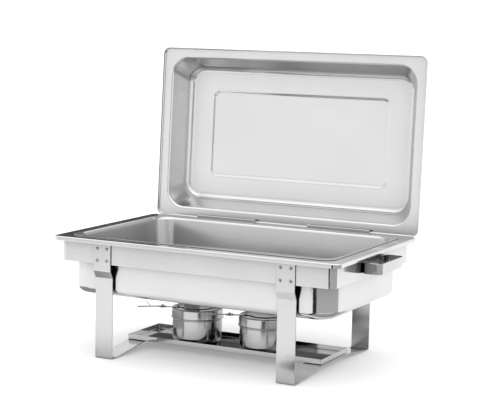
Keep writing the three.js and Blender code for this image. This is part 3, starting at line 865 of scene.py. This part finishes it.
def plain(name, colour, glow):
    """Matt stage paint with a little light of its own."""
    material = bpy.data.materials.new(name)
    material.use_nodes = True
    shader = material.node_tree.nodes["Principled BSDF"]
    shader.inputs["Base Color"].default_value = (colour, colour, colour, 1)
    shader.inputs["Roughness"].default_value = PAINT_ROUGHNESS
    shader.inputs["Specular IOR Level"].default_value = 0.0
    shader.inputs["Emission Color"].default_value = (1, 1, 1, 1)
    shader.inputs["Emission Strength"].default_value = glow
    return material


def stage_mesh(name, points, material):
    """One flat face that belongs to the stage."""
    mesh = bpy.data.meshes.new(name)
    mesh.from_pydata(points, [], [list(range(len(points)))])
    mesh.materials.append(material)
    piece = bpy.data.objects.new(name, mesh)
    bpy.context.scene.collection.objects.link(piece)
    piece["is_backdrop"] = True
    return piece


def card(name, points, shade):
    """A card that only reflections see."""
    piece = stage_mesh(name, points, plain(name, 0.0, shade))
    piece.visible_camera = False
    piece.visible_diffuse = False
    piece.visible_shadow = False
    piece.visible_transmission = False


def floor_card(name, centre, from_degrees, to_degrees, inner, outer, shade):
    """Sector on the floor between two angles and two radii round a centre. Angle 0 is -Y, 90 is +X."""
    points = []
    for radius, order in ((inner, range(CARD_STEPS + 1)), (outer, range(CARD_STEPS, -1, -1))):
        for step in order:
            angle = math.radians(from_degrees + (to_degrees - from_degrees) * step / CARD_STEPS)
            x = centre.x + radius * math.sin(angle)
            y = centre.y - radius * math.cos(angle)
            points.append((x, y, SECTOR_HEIGHT))
    card(name, points, shade)


def floor_strip(name, near, far, shade):
    """Strip of floor in front of the dish, along X, between two distances from its middle."""
    side, z = STRIP_HALF_WIDTH, STRIP_HEIGHT
    card(name, [(-side, -far, z), (side, -far, z), (side, -near, z), (-side, -near, z)], shade)


def upright_card(name, toward, distance, width, low, high, shade):
    """Vertical card at an angle from +Y towards -X, seen from the dish."""
    angle = math.radians(toward)
    middle = Vector((-math.sin(angle), math.cos(angle), 0)) * distance
    across = Vector((math.cos(angle), math.sin(angle), 0)) * width / 2
    corners = ((-1, low), (1, low), (1, high), (-1, high))
    card(name, [middle + across * sign + Vector((0, 0, z)) for sign, z in corners], shade)


def build_stage():
    """Pale floor and the cards that the steel mirrors."""
    reach = FLOOR_REACH
    floor = [(-reach, -reach, 0), (reach, -reach, 0), (reach, reach, 0), (-reach, reach, 0)]
    stage_mesh("floor", floor, plain("floor_paint", FLOOR_GREY, FLOOR_GLOW))
    # Dark and grey cards give the rounded front right corners their black line and grey side.
    corner = Vector((pan.high.x - CARD_CENTRE_INSET, pan.low.y + CARD_CENTRE_INSET, 0))
    floor_card("near_dark_floor_card", corner, -7, 13, 0.4, 0.98, 0.01)
    floor_card("far_dark_floor_card", corner, -19, 7, 0.98, 1.9, 0.01)
    floor_card("grey_floor_card", corner, 13, 145, 0.4, 1.9, 0.6)
    # The burners' round sides show these as upright stripes.
    burners = Vector((shelf.centre.x, shelf.centre.y, 0))
    floor_card("dark_burner_card", burners, 20, 34, 0.31, 0.75, 0.06)
    floor_card("grey_burner_card", burners, 34, 120, 0.31, 0.6, 0.45)
    floor_card("left_burner_card", burners, -115, -47, 0.3, 0.58, 0.4)
    # The band and the pan's lip show floor that is farther off and duller than the pan's wall does.
    floor_strip("band_floor_card", 1.02, 1.36, 1.15)
    floor_strip("far_floor_card", 1.36, 3.5, 0.95)
    # One upright card stands behind the dish and one behind the camera.
    upright_card("back_left_card", 30, 5, 3.2, 0.3, 1.6, 0.08)
    upright_card("behind_camera_card", 207, 4.2, 2.2, 0.25, 1.2, 0.4)


def build_light():
    """Soft light all round, dimmer at mid height and brightest overhead."""
    world = bpy.data.worlds.new("studio")
    bpy.context.scene.world = world
    world.use_nodes = True
    graph = Graph(world.node_tree)
    parts = graph.add("ShaderNodeSeparateXYZ")
    graph.link(graph.add("ShaderNodeTexCoord").outputs["Generated"], parts.inputs["Vector"])
    ramp = graph.add("ShaderNodeValToRGB")
    elements = ramp.color_ramp.elements
    while len(elements) < len(SKY_STOPS):
        elements.new(0.5)
    for element, (position, brightness) in zip(elements, SKY_STOPS):
        element.position = position
        element.color = (brightness, brightness, brightness, 1)
    graph.link(parts.outputs["Z"], ramp.inputs["Fac"])
    background = world.node_tree.nodes["Background"]
    graph.link(ramp.outputs["Color"], background.inputs["Color"])


CAMERA_OFFSET = Vector((1.2863, -2.4971, 0))  # from the middle of the water pan
CAMERA_HEIGHT = 0.6474
CAMERA_YAW = math.radians(27.158)
CAMERA_PITCH = math.radians(7.564)
CAMERA_ROLL = math.radians(1.134)
CAMERA_SENSOR = 36
CAMERA_LENS = 114.41
CAMERA_SIGHT = 200  # clip distance, past the floor's far edge


def build_camera():
    """Long lens in front and to the right, a little above the open pans."""
    data = bpy.data.cameras.new("camera")
    data.sensor_width = CAMERA_SENSOR
    data.lens = CAMERA_LENS
    data.clip_end = CAMERA_SIGHT
    camera = bpy.data.objects.new("camera", data)
    bpy.context.scene.collection.objects.link(camera)
    turn = (
        Matrix.Rotation(CAMERA_YAW, 4, "Z")
        @ Matrix.Rotation(math.pi / 2 - CAMERA_PITCH, 4, "X")
        @ Matrix.Rotation(CAMERA_ROLL, 4, "Z")
    )
    place = Vector((pan.centre.x, pan.centre.y, CAMERA_HEIGHT)) + CAMERA_OFFSET
    camera.matrix_world = Matrix.Translation(place) @ turn
    bpy.context.scene.camera = camera


build_stage()
build_light()
build_camera()
bpy.context.scene.view_settings.view_transform = "Standard"

sizes = {"frame": bounds_at_load, "scene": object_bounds()}
{key: [[float(v) for v in corner] for corner in value] for key, value in sizes.items()}
